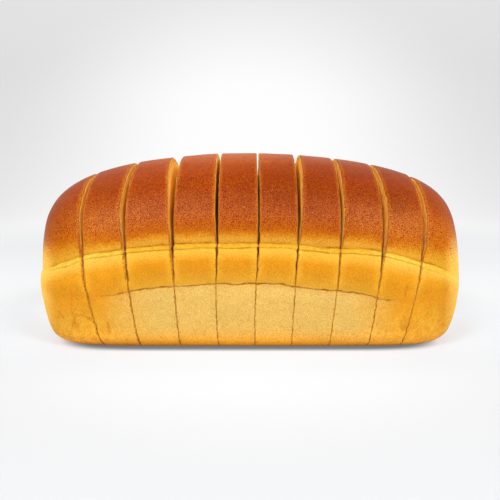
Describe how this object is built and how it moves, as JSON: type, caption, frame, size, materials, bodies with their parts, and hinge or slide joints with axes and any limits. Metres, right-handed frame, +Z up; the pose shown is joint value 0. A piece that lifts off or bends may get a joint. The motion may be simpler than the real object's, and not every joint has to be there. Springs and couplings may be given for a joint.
{
  "type": "sliced tin loaf",
  "caption": "Tin-baked white bread loaf with a domed brown crown, cut right through into upright slices that keep the loaf's shape and fan open at the top.",
  "frame": {"origin": "middle of the loaf's base, on the surface it stands on", "axes": "+X along the loaf, +Y across it away from the side shown in the picture, +Z up"},
  "size_m": [0.2406, 0.1124, 0.1093],
  "materials": {
    "bread": "satin brown crust on the crown, matt golden crust on the wall, open pale crumb on the cut faces"
  },
  "bodies": {
    "root": {"slice_01": "bread", "slice_02": "bread", "slice_03": "bread", "slice_04": "bread", "slice_05": "bread", "slice_06": "bread", "slice_07": "bread", "slice_08": "bread", "slice_09": "bread", "slice_10": "bread"}
  },
  "joints": []
}
